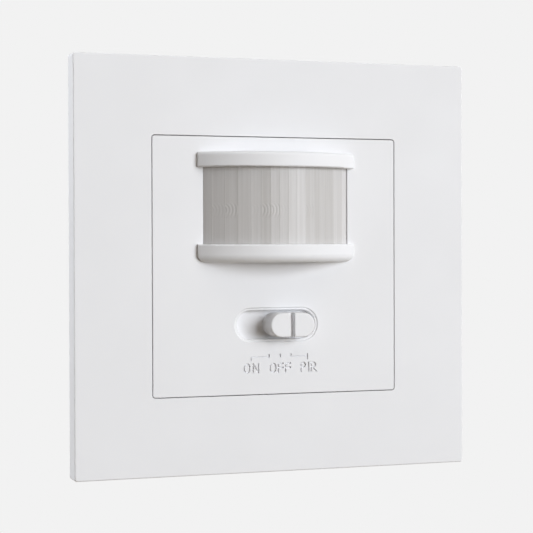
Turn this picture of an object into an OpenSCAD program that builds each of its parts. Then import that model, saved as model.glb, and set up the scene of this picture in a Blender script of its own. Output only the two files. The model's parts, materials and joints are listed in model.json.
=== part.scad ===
// Flush wall switch with a motion sensor, for a round 60 mm wall box.
// X runs to the right and Z up as seen from the room, and Y runs into the wall.
// The wall's surface is the plane y = 0, and the origin is the centre of the box screws.

/* [Cover frame] */
// Width and height of the cover frame
frame_w = 80; // [77:0.5:90]
// Height of the front face above the wall
face_h = 4.2; // [4:0.1:6]
// Thickness of the cover frame's front
frame_skin = 1.6; // [1.2:0.1:1.8]
// Thickness of the cover frame's side walls
frame_wall = 1.6; // [1.2:0.1:2]
// Corner radius of the cover frame's outline
frame_corner_r = 0.5; // [0.4:0.1:3]
// Rounding of the cover frame's front edges
frame_edge_r = 0.25; // [0.1:0.05:0.4]
// Thickness of the rim round the cover frame's opening
rim_wall = 1.2; // [0.8:0.1:1.6]
// Thickness of the stiffening ribs behind the cover frame
rib_t = 1; // [0.6:0.1:1.6]
// Distance of the ribs from the middle of each side
rib_at = 13; // [10:0.5:20]
// Distance of the cover frame's pegs from the centre, across and up
frame_peg_at = 31; // [30:0.5:32]
// Diameter of the cover frame's pegs
frame_peg_d = 3; // [2:0.1:4]

/* [Centre plate] */
// Width and height of the centre plate
plate_w = 49.7; // [49:0.1:51]
// Gap between the centre plate and the cover frame
plate_gap = 0.15; // [0.1:0.05:0.5]
// Thickness of the centre plate
plate_skin = 1.5; // [1.2:0.1:1.7]
// Corner radius of the centre plate
plate_corner_r = 0.5; // [0.4:0.1:2]
// Rounding of the centre plate's edges
plate_edge_r = 0.1; // [0.05:0.05:0.3]
// Width of the rim behind the centre plate's edge
plate_rim = 1; // [0.6:0.1:1.2]
// Diameter of the centre plate's pegs
plate_peg_d = 2.8; // [2:0.1:3]
// Reach of the centre plate's pegs behind the wall's surface
plate_peg_reach = 4; // [2:0.5:5]

/* [Lens and visor] */
// Outer radius of the lens
lens_r = 25; // [24:0.5:30]
// Thickness of the lens
lens_t = 0.8; // [0.5:0.1:1]
// Width of the lens where it leaves the centre plate
window_w = 29.4; // [27:0.2:30]
// Height of the lens between the visor bars
window_h = 14.8; // [13:0.2:15]
// Height of the lens centre above the plate's centre
window_z = 11.6; // [11:0.1:11.8]
// Height of the lens edge that is hidden behind each visor bar
lens_tuck = 1.2; // [0.8:0.1:1.4]
// Number of vertical facets on the lens
facet_count = 15; // [9:2:21]
// Depth of the grooves between the facets
facet_groove = 0.15; // [0.05:0.05:0.3]
// Width of the visor bars
visor_w = 32; // [31:0.2:34]
// Height of the upper visor bar
upper_h = 2.9; // [2.7:0.1:3.9]
// Height of the lower visor bar
lower_h = 3.5; // [3.4:0.1:3.9]
// Reach of the visor bars in front of the lens
visor_over = 1.3; // [1.2:0.1:2.4]
// Rounding of the upper visor bar's upper edge
upper_round = 0.7; // [0.3:0.1:1.2]
// Rounding of the lower visor bar's lower edge
lower_round = 1.5; // [0.6:0.1:1.7]
// Rounding of a visor bar's edge beside the lens
visor_edge_r = 0.3; // [0.1:0.05:0.5]
// Radius of the upper visor bar's upper corners, seen from the front
upper_end_r = 0.5; // [0.3:0.1:2]
// Radius of the lower visor bar's lower corners, seen from the front
lower_end_r = 1.7; // [0.3:0.1:2]
// Thickness of the lens retainer
retainer_t = 0.75; // [0.5:0.05:0.8]
// Thickness of the retainer's collar
collar_t = 1; // [0.6:0.1:1.4]
// Reach of the retainer's collar behind the wall's surface
collar_reach = 3; // [1:0.5:6]

/* [Slide switch] */
// Length of the switch slot, inside its ledge
slot_l = 16.1; // [15:0.1:17]
// Height of the switch slot, inside its ledge
slot_h = 5.6; // [5.2:0.1:6]
// Height of the slot's centre above the plate's centre
slot_z = -11.4; // [-12.5:0.1:-11]
// Width of the sunk ledge round the slot
ledge_w = 0.6; // [0.5:0.05:0.8]
// Depth of the ledge round the slot
ledge_d = 0.25; // [0.1:0.05:0.3]
// Width of the chamfer between the ledge and the slot
ledge_chamfer = 0.15; // [0.1:0.05:0.2]
// Length of the knob
knob_l = 9.1; // [8:0.1:10]
// Height of the knob
knob_h = 4.7; // [4:0.1:5]
// Reach of the knob in front of the centre plate
knob_proud = 3.3; // [2:0.1:4]
// Rounding of the knob's front edge
knob_edge_r = 0.3; // [0.1:0.05:0.6]
// Width of the knob's finger groove
groove_w = 0.9; // [0.5:0.1:1.4]
// Depth of the knob's finger groove
groove_d = 1.4; // [0.6:0.1:1.6]
// Travel between two switch positions
switch_step = 2.2; // [1.8:0.1:2.4]
// Thickness of the knob's dust flange
flange_t = 1; // [0.7:0.05:1]
// Width of the switch actuator
actuator_w = 3; // [2:0.1:3.4]
// Length of the switch body
switch_l = 16; // [16:0.5:18]
// Height of the switch body
switch_h = 7; // [6.5:0.1:8]
// Depth of the switch body
switch_d = 5.5; // [5.3:0.1:6]
// Thickness of the switch's steel shell
shell_t = 0.5; // [0.3:0.05:0.6]

/* [Words and marks] */
// Height of the words below the knob
letter_h = 1.95; // [1.5:0.05:2.4]
// Width of the words' strokes
stroke_w = 0.3; // [0.2:0.05:0.35]
// Depth to which the words and marks are sunk
letter_d = 0.3; // [0.1:0.05:0.5]
// Width of the lines between the marks and the words
line_w = 0.2; // [0.15:0.05:0.3]
// Height of the marks
mark_h = 0.64; // [0.5:0.02:0.8]

/* [Dials] */
// Distance of each dial from the middle
dial_x = 16.4; // [16:0.1:16.6]
// Height of the dials above the plate's centre
dial_z = -12; // [-12.5:0.1:-11.8]
// Diameter of a dial
dial_d = 5.2; // [4:0.1:5.4]
// Diameter of a dial's spigot in its trimmer
spigot_d = 3; // [2:0.1:3.6]
// Width and height of a trimmer
trimmer_w = 7; // [6:0.1:7.2]
// Depth of a trimmer
trimmer_d = 4.5; // [3:0.1:5.5]

/* [Housing] */
// Corner radius of the housing
body_r = 9; // [9:0.1:10]
// Thickness of the housing's walls
body_wall = 1.5; // [1.2:0.1:1.5]
// Depth of the housing behind the wall's surface
body_depth = 33; // [33:0.5:38]
// Depth at which the chassis meets the rear housing
split_y = 15; // [14.8:0.1:18]
// Depth of the control board's front face
board_y = 13; // [13:0.1:13.4]
// Depth of the power board's front face
power_y = 19.4; // [19.2:0.1:20]
// Thickness of both circuit boards
board_t = 1.6; // [1.2:0.1:1.6]
// Distance of the screw posts from the middle
post_x = 18.4; // [18.3:0.05:18.5]
// Diameter of the screw posts
post_d = 4.8; // [4.6:0.1:5]
// Diameter of the housing screws
screw_d = 2.5; // [2:0.1:2.6]

/* [Wall fixing] */
// Spacing of the wall box screws
box_pitch = 60; // [58:0.5:62]
// Width of the slots for the box screws
box_slot_w = 4; // [3.4:0.1:4.4]
// Length of the slots for the box screws
box_slot_l = 7; // [6:0.5:8]
// Thickness of the support frame
support_t = 1; // [0.8:0.05:1.05]
// Gap between the support frame and the cover frame's side walls
support_gap = 0.5; // [0.3:0.1:2]
// Corner radius of the support frame
support_r = 5; // [3:0.5:8]

/* [Terminals] */
// Spacing of the terminals
terminal_pitch = 8; // [7.6:0.1:8.4]
// Diameter of a wire entry
wire_d = 3.2; // [2.4:0.1:3.4]
// Width of a terminal clamp
clamp_w = 5.4; // [4.8:0.1:6]
// Width of the terminal block
terminal_w = 26; // [25:0.5:27]
// Height of the terminal block
terminal_h = 10; // [9:0.5:10]

/* [Control board parts] */
// Height of the motion sensor's can
pir_h = 4; // [3.5:0.1:5]
// Diameter of the motion sensor's can
pir_can_d = 8.2; // [7:0.1:9]
// Distance of the light sensor from the middle
light_x = 9.5; // [8:0.1:10]
// Diameter of the light sensor
light_d = 5; // [3:0.1:5]
// Length of the light sensor behind its dome
light_stem = 3.5; // [3:0.1:4]
// Length of the control chip
chip_w = 8.6; // [5:0.1:10]
// Thickness of the control chip
chip_t = 1.5; // [1:0.1:1.8]

/* [Power board parts] */
// Length of the relay
relay_w = 18; // [15:0.1:18.5]
// Width of the relay
relay_h = 10.2; // [8:0.1:10.5]
// Width of the film capacitor
film_w = 7.4; // [5:0.1:8]
// Length of the film capacitor
film_h = 17; // [13:0.1:18]
// Diameter of the reservoir capacitors
reservoir_d = 8; // [5:0.1:8.4]
// Diameter of the rectifier diodes
diode_d = 2.7; // [2:0.1:3]
// Length of the rectifier diodes
diode_l = 5.2; // [4:0.1:5.6]
// Diameter of the dropper resistor
resistor_d = 4.2; // [3:0.1:4.6]
// Length of the dropper resistor
resistor_l = 11; // [8:0.1:12]

/* [Hidden] */
$fn = 64;

// Clearances: a push fit, a turning fit, a loose gap and the overlap of a cut
fit = 0.1;
turn_fit = 0.06;
loose = 0.3;
cut = 1;

// Depths of the front stack
face_y = -face_h;
plate_back = face_y + plate_skin;
skin_back = face_y + frame_skin;
deck_front = -support_t;
deck_t = 1.5;
deck_back = deck_front + deck_t;
chassis_rim = 1.1;
chassis_front = deck_front - chassis_rim;

// Widths that follow the centre plate
opening_w = plate_w + 2 * plate_gap;
opening_r = plate_corner_r + plate_gap;
flange_inset = 0.8;
flange_w = plate_w - 2 * flange_inset;
flange_r = 2;
flange_reach = 1.5;
body_w = flange_w - 2 * flange_reach;
inner_w = body_w - 2 * body_wall;
inner_r = body_r - body_wall;
support_w = frame_w - 2 * (frame_wall + support_gap);
rivet_edge = 2.5;
rivet_at = flange_w / 2 - rivet_edge;
rivet_d = 2.5;
rivet_head_d = 4.2;

// Lens: a sheet bent round an upright axis, held by side flanges
lens_axis_y = face_y + sqrt(lens_r * lens_r - window_w * window_w / 4);
lens_h = window_h + 2 * lens_tuck;
visor_r = lens_r + visor_over;
visor_foot = 3;
visor_foot_r = lens_r - visor_foot;
cavity_h = lens_h + 4 * loose;
lens_flange_y = plate_back + fit / 2;
lens_flange_t = lens_t;
ear_gap = 1.2;
lens_ear_w = inner_w - 2 * ear_gap;
lens_ear_h = 11.6;
lens_back_x = sqrt(pow(lens_r, 2) - pow(lens_axis_y - plate_back, 2));
stake_edge = 1.4;
stake_x = lens_ear_w / 2 - stake_edge;
stake_z = 4;
stake_d = 1.6;
facet_step = 2 * asin(window_w / 2 / lens_r) / (facet_count - 1);

// Retainer behind the lens
retainer_y = lens_flange_y + lens_flange_t + fit / 2;
retainer_h = lens_h + 2 * loose;
collar_side = 0.5;
collar_w = window_w + 2 * collar_side;
collar_top = 0.8;
collar_h = window_h + 2 * collar_top;
retainer_w = collar_w + 2 * loose;
well_w = collar_w + 2 * fit;
well_h = collar_h + 2 * fit;
shroud_t = 1.1;

// Knob and its flange
knob_rest_x = switch_step;
knob_front = face_y - knob_proud;
knob_flange_y = plate_back + fit;
knob_flange_back = knob_flange_y + flange_t;
flange_lap_x = 0.6;
flange_lap_z = 0.9;
knob_flange_l = slot_l + 2 * (switch_step + flange_lap_x);
knob_flange_h = slot_h + 2 * flange_lap_z;
stem_side = 1.2;
stem_top = 0.9;
stem_w = actuator_w + 2 * stem_side;
stem_h = actuator_w + 2 * stem_top;
guide_w = 0.8;
guide_z = stem_h / 2 + loose + guide_w;

// Words under the three positions, with the place of each letter, and the marks over them
letter_z = -20.75;
letters = [
    ["O", -6.83], ["N", -5], ["O", -1.48], ["F", 0.18], ["F", 1.68], ["P", 4.9], ["I", 6.48], ["R", 7.02]
];
round_w = 1.42;
wide_w = 1.4;
arm_w = 1.28;
bowl_w = 1.2;
bowl_h = 1.1;
waist = letter_h - bowl_h;
mark_z = -17.62;
mark_w = 0.4;
mark_foot = 0.14;
marks_x = [-1.6, 0.7, 2.9];
ends_x = [-5.24, 6.42];
tick_drop = 0.7;
tick_tops = [line_w / 2, mark_h - mark_foot];

// Switch on the control board
switch_base_t = 1.2;
switch_front = board_y - switch_d;
actuator_reach = 4;
actuator_tip = switch_front - actuator_reach;
stem_gap = 0.5;
stem_back = switch_front - stem_gap;
carriage_l = 9;
carriage_y = switch_front + shell_t + 2 * fit;
carriage_d = 2.4;
bridge_l = 7.2;
bridge_h = 2.4;
bridge_t = 0.4;
stud_d = 1.6;
stud_t = board_y - switch_base_t - carriage_y - carriage_d - bridge_t - fit;

// Posts carry the boards and take the rear screws, bosses take the plate pegs
post_low_z = -5;
post_high_z = 12;
posts = [for (sx = [-1, 1], z = [post_low_z, post_high_z]) [sx * post_x, z]];
boss_low_x = 12;
boss_low_z = -19;
boss_high_z = 3.2;
boss_places = [[boss_low_x, boss_low_z], [post_x, boss_high_z]];
bosses = [for (sx = [-1, 1], p = boss_places) [sx * p.x, p.y]];
boss_d = post_d;
board_clear = 0.2;
board_w = inner_w - 2 * board_clear;
board_r = inner_r - board_clear;
board_back = board_y + board_t;
board_screw_d = 2;
board_screw_grip = 4.5;
board_screw_tip = board_y - board_screw_grip;
board_head_d = 3.8;
board_head_t = 1.2;
power_back = power_y + board_t;
rear_wall = 1.6;
rear_inside = body_depth - rear_wall;
tube_wall = 0.4;
tube_d = post_d + 2 * tube_wall;
rear_head_d = 4.4;
rear_head_t = 1.5;
rear_screw_grip = 8.4;
rear_screw_tip = power_y - rear_screw_grip;

// Dials and trimmers
dial_wall = 1.3;
dial_collar = 2;
dial_proud = 0.5;
dial_slot_w = 0.9;
dial_slot_d = 1;
dial_slot_end = 0.5;
trimmer_floor = 1;

// Parts on the control board
pir_flange_d = 9.2;
pir_flange_t = 0.6;
pir_recess = 0.4;
pir_window_w = 4;
pir_window_h = 3;
pir_window_t = 0.3;
light_drop = 5;
chip_x = -6;
chip_z = 4;
chip_h = 3.9;
chip_pins = 7;
chip_pitch = 1.2;
chip_pin_w = 0.5;
chip_pin_t = 0.2;
chip_pin_l = 1.2;
header_pins = 5;
header_pitch = 2.54;
header_pin_w = 0.64;
header_z = 16.5;

// Parts on the power board: the tall ones reach close to the rear wall
part_room = rear_inside - power_back;
relay_gap = 0.8;
relay_x = 6.5;
relay_z = 13.2;
film_gap = 1;
film_x = -9.6;
film_z = 10.4;
reservoir_gap = 1;
reservoir_x = 3.75;
reservoir_z = 2.8;
reservoir_pitch = 9.5;
diode_count = 4;
diode_x = -7.4;
diode_z = -4.4;
diode_pitch = 3.4;
resistor_x = 8;
resistor_z = -5;

// Terminals
terminal_z = -body_w / 2;
clamp_d = 6.4;
clamp_h = 7;
clamp_floor = 0.9;
clamp_y = power_back + clamp_floor;
clamp_inset = 0.5;
clamp_z = terminal_z + clamp_inset;
wire_in = 2.7;
wire_y = clamp_y + wire_in;
terminal_head_d = 4.2;
terminal_head_t = 2;
terminal_thread_d = 2.5;

// Extrudes an outline, drawn as seen from the room, from depth y0 to depth y1
module slab(y0, y1) {
    translate([0, y1, 0])
        rotate([90, 0, 0])
            linear_extrude(y1 - y0)
                children();
}

// A round bar along Y at the place at, seen from the room
module rod(at, d, y0, y1) {
    translate([at.x, y1, at.y])
        rotate([90, 0, 0])
            cylinder(d = d, h = y1 - y0);
}

// A block of the given size on X, Y and Z, with its front face at depth y and its middle at the place at
module block(at, size, y) {
    translate([at.x - size.x / 2, y, at.y - size.z / 2])
        cube(size);
}

// A rectangle with round corners
module outline(w, h, r) {
    square([w - 2 * r, h], center = true);
    square([w, h - 2 * r], center = true);
    for (sx = [-1, 1], sz = [-1, 1])
        translate([sx * (w / 2 - r), sz * (h / 2 - r)])
            circle(r);
}

// A rectangle with half-round ends
module obround(l, h) {
    square([l - h, h], center = true);
    for (sx = [-1, 1])
        translate([sx * (l - h) / 2, 0])
            circle(h / 2);
}

// Half the section of a plate of thickness t, whose front edge is rounded by e
module edge_section(r, e, t) {
    difference() {
        square([r, t]);
        translate([r - e, t - e])
            difference() {
                square(2 * e);
                circle(e);
            }
    }
}

// The section cut away to round the edge of an opening by e
module rim_section(r, e, t) {
    difference() {
        translate([r, t - e])
            square([e, e + cut]);
        translate([r + e, t - e])
            circle(e);
    }
}

// Turns a shape that stands on Z = 0 and faces up so that it faces the room, with its foot at depth y
module face_room(y) {
    translate([0, y, 0])
        rotate([90, 0, 0])
            children();
}

// Sweeps a section round a square of width w with corners of radius r
module round_square(w, r) {
    side = w - 2 * r;
    for (turn = [0 : 90 : 270])
        rotate([0, 0, turn])
            translate([side / 2, side / 2, 0]) {
                rotate_extrude(angle = 90)
                    children();
                rotate([90, 0, 0])
                    linear_extrude(side)
                        children();
            }
}

// The section cut away for a ledge of width w and depth d, with sloping edges, in a plate of thickness t
module ledge_section(r, w, d, c, t) {
    polygon([
        [r - c, t - d - c],
        [r, t - d - c],
        [r + c, t - d],
        [r + w - d, t - d],
        [r + w, t],
        [r + w, t + cut],
        [r - c, t + cut]
    ]);
}

// Sweeps a section round an outline of length l with half-round ends of height h
module round_slot(l, h) {
    side = l - h;
    for (turn = [0, 180])
        rotate([0, 0, turn]) {
            translate([side / 2, 0, 0])
                rotate([0, 0, -90])
                    rotate_extrude(angle = 180)
                        children();
            translate([side / 2, 0, 0])
                rotate([90, 0, -90])
                    mirror([1, 0, 0])
                        linear_extrude(side)
                            children();
        }
}

// A square plate with round corners and a rounded front edge
module soft_plate(w, r, e, y0, y1) {
    face_room(y1) {
        round_square(w, r)
            edge_section(r, e, y1 - y0);
        translate([r - w / 2, r - w / 2, 0])
            cube([w - 2 * r, w - 2 * r, y1 - y0]);
    }
}

// Flat head screw along Y: head from y0, tip at y1, driven from the rear when y1 is less than y0
module screw(at, d, head_d, head_t, y0, y1) {
    side = y1 > y0 ? 1 : -1;
    under = y0 + side * head_t;
    slot_w = head_d / 6;
    difference() {
        rod(at, head_d, min(y0, under), max(y0, under));
        block(at, [slot_w, head_t, head_d], y0 - head_t / 2);
    }
    rod(at, d, min(under, y1), max(under, y1));
}

module cover_frame() {
    rim_w = opening_w + 2 * rim_wall;
    side_in = frame_w - 2 * frame_wall;
    rim_back = deck_front - fit;
    rib = [rib_t, rim_back - skin_back, (side_in - rim_w) / 2];
    color("whitesmoke")
        difference() {
            union() {
                difference() {
                    soft_plate(frame_w, frame_corner_r, frame_edge_r, face_y, 0);
                    slab(skin_back, cut)
                        square(side_in, center = true);
                }
                slab(skin_back, rim_back)
                    outline(rim_w, rim_w, opening_r + rim_wall);
                for (turn = [0 : 90 : 270], side = [-1, 1])
                    rotate([0, turn, 0])
                        block([side * rib_at, (rim_w + rib.z) / 2], rib, skin_back);
                for (sx = [-1, 1], sz = [-1, 1])
                    rod([sx * frame_peg_at, sz * frame_peg_at], frame_peg_d, skin_back, -fit);
            }
            slab(face_y - cut, cut)
                outline(opening_w, opening_w, opening_r);
            face_room(0)
                round_square(opening_w, opening_r)
                    rim_section(opening_r, plate_edge_r, face_h);
        }
}

module support_frame() {
    color("silver")
        slab(-support_t, 0)
            difference() {
                outline(support_w, support_w, support_r);
                outline(body_w + 2 * loose, body_w + 2 * loose, body_r + loose);
                for (turn = [0 : 90 : 270])
                    rotate(turn)
                        translate([box_pitch / 2, 0])
                            obround(box_slot_l, box_slot_w);
                for (sx = [-1, 1], sz = [-1, 1]) {
                    translate([sx * frame_peg_at, sz * frame_peg_at])
                        circle(d = frame_peg_d + 2 * fit);
                    translate([sx * rivet_at, sz * rivet_at])
                        circle(d = rivet_d + fit);
                }
            }
}

// A countersunk rivet, or the hole for one when it is grown
module rivet(at, grow) {
    head_t = (rivet_head_d - rivet_d) / 2;
    translate([at.x, chassis_front, at.y])
        rotate([-90, 0, 0])
            cylinder(d1 = rivet_head_d + grow, d2 = rivet_d + grow, h = head_t);
    rod(at, rivet_d + grow, chassis_front, 0);
}

module support_rivets() {
    color("lightgray")
        for (sx = [-1, 1], sz = [-1, 1])
            rivet([sx * rivet_at, sz * rivet_at], 0);
}

// Front view of a visor bar of height h that stands on z = 0, with outer corners of radius r
module visor_outline(h, r) {
    translate([-visor_w / 2, 0])
        square([visor_w, h - r]);
    translate([r - visor_w / 2, 0])
        square([visor_w - 2 * r, h]);
    for (sx = [-1, 1])
        translate([sx * (visor_w / 2 - r), h - r])
            circle(r);
}

// A rectangle of height h whose right end is half round, on its lower left corner
module half_round(w, h) {
    square([w - h / 2, h]);
    translate([w - h / 2, h / 2])
        circle(h / 2);
}

// The upright stroke and the bowl of a P or an R
module stem_and_bowl() {
    difference() {
        union() {
            square([stroke_w, letter_h]);
            translate([0, waist])
                half_round(bowl_w, bowl_h);
        }
        translate([stroke_w, waist + stroke_w])
            half_round(bowl_w - 2 * stroke_w, bowl_h - 2 * stroke_w);
    }
}

// One capital letter, on its lower left corner
module capital(letter) {
    if (letter == "O")
        translate([round_w / 2, letter_h / 2])
            rotate(90)
                difference() {
                    obround(letter_h, round_w);
                    obround(letter_h - 2 * stroke_w, round_w - 2 * stroke_w);
                }
    if (letter == "N") {
        square([stroke_w, letter_h]);
        polygon([[0, letter_h], [stroke_w, letter_h], [wide_w, 0], [wide_w - stroke_w, 0]]);
        translate([wide_w - stroke_w, 0])
            square([stroke_w, letter_h]);
    }
    if (letter == "F") {
        square([stroke_w, letter_h]);
        for (z = [waist, letter_h - stroke_w])
            translate([0, z])
                square([arm_w, stroke_w]);
    }
    if (letter == "I")
        square([stroke_w, letter_h]);
    if (letter == "P")
        stem_and_bowl();
    if (letter == "R") {
        leg_z = waist + stroke_w / 2;
        stem_and_bowl();
        polygon([[stroke_w, leg_z], [2 * stroke_w, leg_z], [wide_w, 0], [wide_w - stroke_w, 0]]);
    }
}

// The three marks, and the lines that lead from the outer ones down to their words
module position_marks() {
    for (x = marks_x)
        translate([x - mark_w / 2, -mark_foot])
            square([mark_w, mark_h]);
    for (i = [0, 1]) {
        inner = marks_x[2 * i];
        translate([min(ends_x[i], inner), -line_w / 2])
            square([abs(ends_x[i] - inner), line_w]);
        translate([ends_x[i] - line_w / 2, -tick_drop])
            square([line_w, tick_drop + tick_tops[i]]);
    }
}

// Everything that is sunk into the centre plate below the knob
module lettering() {
    for (letter = letters)
        translate([letter[1], letter_z])
            capital(letter[0]);
    translate([0, mark_z])
        position_marks();
}

// A visor bar of height h with its lens side at z = 0, its outer edge rounded by e and its corners by r
module visor_bar(h, e, r) {
    intersection() {
        translate([0, lens_axis_y, 0])
            rotate([0, 0, 180])
                rotate_extrude(angle = 180)
                    difference() {
                        translate([visor_foot_r, 0])
                            square([visor_r - visor_foot_r, h]);
                        translate([visor_r - e, h - e])
                            difference() {
                                square(2 * e);
                                circle(e);
                            }
                        translate([visor_r - visor_edge_r, visor_edge_r])
                            mirror([0, 1])
                                difference() {
                                    square(2 * visor_edge_r);
                                    circle(visor_edge_r);
                                }
                    }
        slab(face_y - visor_r, face_y + plate_skin / 2)
            visor_outline(h, r);
    }
}

// The upright cylinder of radius r round the lens axis, h high, about the lens centre
module lens_drum(r, h) {
    translate([0, lens_axis_y, window_z - h / 2])
        cylinder(r = r, h = h, $fn = 96);
}

module centre_plate() {
    stake_end = retainer_y + retainer_t + fit / 2;
    rim_back = chassis_front - fit;
    rim_w = plate_w - 2 * plate_corner_r;
    color("white")
        difference() {
            union() {
                soft_plate(plate_w, plate_corner_r, plate_edge_r, face_y, plate_back);
                slab(plate_back, rim_back)
                    difference() {
                        square(rim_w, center = true);
                        square(rim_w - 2 * plate_rim, center = true);
                    }
                translate([0, 0, window_z + window_h / 2])
                    visor_bar(upper_h, upper_round, upper_end_r);
                translate([0, 0, window_z - window_h / 2])
                    mirror([0, 0, 1])
                        visor_bar(lower_h, lower_round, lower_end_r);
                for (p = bosses)
                    rod(p, plate_peg_d, plate_back, plate_peg_reach);
                for (sx = [-1, 1], sz = [-1, 1])
                    rod([sx * stake_x, window_z + sz * stake_z], stake_d, plate_back, stake_end);
            }
            lens_drum(lens_r + fit, cavity_h);
            slab(face_y - cut, face_y + letter_d)
                lettering();
            translate([0, 0, slot_z]) {
                slab(face_y - cut, plate_back + cut)
                    obround(slot_l, slot_h);
                face_room(plate_back)
                    round_slot(slot_l, slot_h)
                        ledge_section(slot_h / 2, ledge_w, ledge_d, ledge_chamfer, plate_skin);
            }
        }
}

module fresnel_lens() {
    ear_back = lens_flange_y + lens_flange_t;
    groove_r = lens_r - lens_t;
    color("gainsboro")
        difference() {
            union() {
                intersection() {
                    lens_drum(lens_r, lens_h);
                    slab(lens_axis_y - lens_r - cut, ear_back)
                        translate([0, window_z])
                            square([2 * lens_back_x, lens_h], center = true);
                }
                slab(lens_flange_y, ear_back)
                    translate([0, window_z])
                        square([lens_ear_w, lens_ear_h], center = true);
            }
            lens_drum(lens_r - lens_t, lens_h + cut);
            for (i = [0 : facet_count - 2])
                translate([0, lens_axis_y, window_z])
                    rotate([0, 0, (i - facet_count / 2 + 1) * facet_step])
                        translate([0, -groove_r, 0])
                            rotate([0, 0, 45])
                                cube([facet_groove, facet_groove, window_h], center = true);
            for (sx = [-1, 1], sz = [-1, 1])
                rod([sx * stake_x, window_z + sz * stake_z], stake_d + fit, face_y, 0);
        }
}

module lens_retainer() {
    retainer_back = retainer_y + retainer_t;
    rail_h = lens_tuck;
    color("white")
        difference() {
            union() {
                intersection() {
                    lens_drum(lens_r - lens_t - fit, retainer_h);
                    slab(lens_axis_y - lens_r, retainer_back)
                        translate([0, window_z])
                            square([retainer_w, retainer_h], center = true);
                }
                slab(retainer_y, retainer_back)
                    translate([0, window_z])
                        square([lens_ear_w, lens_ear_h], center = true);
                slab(retainer_y, collar_reach)
                    translate([0, window_z])
                        square([collar_w, collar_h], center = true);
            }
            slab(face_y - lens_r, retainer_y)
                translate([0, window_z])
                    square([retainer_w + cut, retainer_h - 2 * rail_h], center = true);
            slab(face_y - lens_r, collar_reach + cut)
                translate([0, window_z])
                    square([collar_w - 2 * collar_t, collar_h - 2 * collar_t], center = true);
            for (sx = [-1, 1], sz = [-1, 1])
                rod([sx * stake_x, window_z + sz * stake_z], stake_d + fit, face_y, 0);
        }
}

module slide_knob() {
    color("white")
        translate([knob_rest_x, 0, slot_z])
            difference() {
                union() {
                    face_room(knob_flange_y)
                        round_slot(knob_l, knob_h)
                            edge_section(knob_h / 2, knob_edge_r, knob_flange_y - knob_front);
                    slab(knob_flange_y, knob_flange_back)
                        square([knob_flange_l, knob_flange_h], center = true);
                    slab(knob_flange_back, stem_back)
                        square([stem_w, stem_h], center = true);
                }
                block([0, 0], [groove_w, groove_d + cut, knob_h + cut], knob_front - cut);
                slab(actuator_tip - fit, stem_back + cut)
                    square(actuator_w + fit, center = true);
            }
}

module chassis() {
    well_back = board_y - board_clear;
    dial_back = deck_back + dial_collar;
    peg_end = plate_peg_reach + loose;
    stem_slot = [stem_w + 2 * switch_step + 2 * loose, stem_h + 2 * loose];
    guide_l = knob_flange_l - 2 * switch_step;
    color("gainsboro")
        difference() {
            union() {
                difference() {
                    slab(chassis_front, split_y)
                        outline(body_w, body_w, body_r);
                    slab(deck_back, split_y + cut)
                        outline(inner_w, inner_w, inner_r);
                    slab(chassis_front - cut, deck_front)
                        outline(inner_w, inner_w, inner_r);
                }
                slab(chassis_front, deck_front)
                    difference() {
                        outline(flange_w, flange_w, flange_r);
                        outline(body_w - body_wall, body_w - body_wall, body_r - body_wall / 2);
                    }
                slab(deck_front, well_back)
                    translate([0, window_z])
                        square([well_w + 2 * shroud_t, well_h + 2 * shroud_t], center = true);
                for (p = posts)
                    rod(p, post_d, deck_front, power_y);
                for (p = bosses)
                    rod(p, boss_d, deck_front, board_y);
                for (sx = [-1, 1])
                    rod([sx * dial_x, dial_z], dial_d + 2 * dial_wall, deck_front, dial_back);
                for (sz = [-1, 1])
                    slab(knob_flange_back + fit, deck_front)
                        translate([0, slot_z + sz * guide_z])
                            square([guide_l, guide_w], center = true);
            }
            slab(chassis_front - cut, split_y)
                translate([0, window_z])
                    square([well_w, well_h], center = true);
            slab(deck_front - cut, deck_back + cut)
                translate([0, slot_z])
                    square(stem_slot, center = true);
            for (sx = [-1, 1])
                rod([sx * dial_x, dial_z], dial_d + 2 * turn_fit, deck_front - cut, dial_back + cut);
            for (p = bosses) {
                rod(p, plate_peg_d + 2 * fit, deck_front - cut, peg_end);
                rod(p, board_screw_d + fit, board_screw_tip - loose, board_y + cut);
            }
            for (p = posts)
                rod(p, screw_d + fit, rear_screw_tip - loose, power_y + cut);
            for (sx = [-1, 1], sz = [-1, 1])
                rivet([sx * rivet_at, sz * rivet_at], fit);
        }
}

module control_board() {
    notch = post_d + 2 * loose;
    color("seagreen")
        slab(board_y, board_back)
            difference() {
                outline(board_w, board_w, board_r);
                for (p = posts)
                    translate([p.x + sign(p.x) * notch / 2, p.y])
                        square([2 * notch, notch], center = true);
                for (p = bosses)
                    translate(p)
                        circle(d = board_screw_d + 2 * fit);
            }
}

module board_screws() {
    head_back = board_back + board_head_t;
    color("silver")
        for (p = bosses)
            screw(p, board_screw_d, board_head_d, board_head_t, head_back, board_screw_tip);
}

// The sensor's can and base flange, with the recess for its window
module pir_sensor() {
    at = [0, window_z];
    can_front = board_y - pir_h;
    can_back = board_y - pir_flange_t;
    color("goldenrod")
        difference() {
            union() {
                rod(at, pir_flange_d, can_back, board_y);
                rod(at, pir_can_d, can_front, can_back);
            }
            block(at, [pir_window_w, pir_recess + cut, pir_window_h], can_front - cut);
        }
}

module pir_window() {
    size = [pir_window_w - fit, pir_window_t, pir_window_h - fit];
    color("dimgray")
        block([0, window_z], size, board_y - pir_h + pir_recess - pir_window_t);
}

module light_sensor() {
    at = [light_x, window_z - light_drop];
    dome_y = board_y - light_stem;
    color("lightyellow") {
        rod(at, light_d, dome_y, board_y);
        intersection() {
            translate([at.x, dome_y, at.y])
                sphere(d = light_d);
            rod(at, light_d + cut, dome_y - light_d, dome_y);
        }
    }
}

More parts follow.
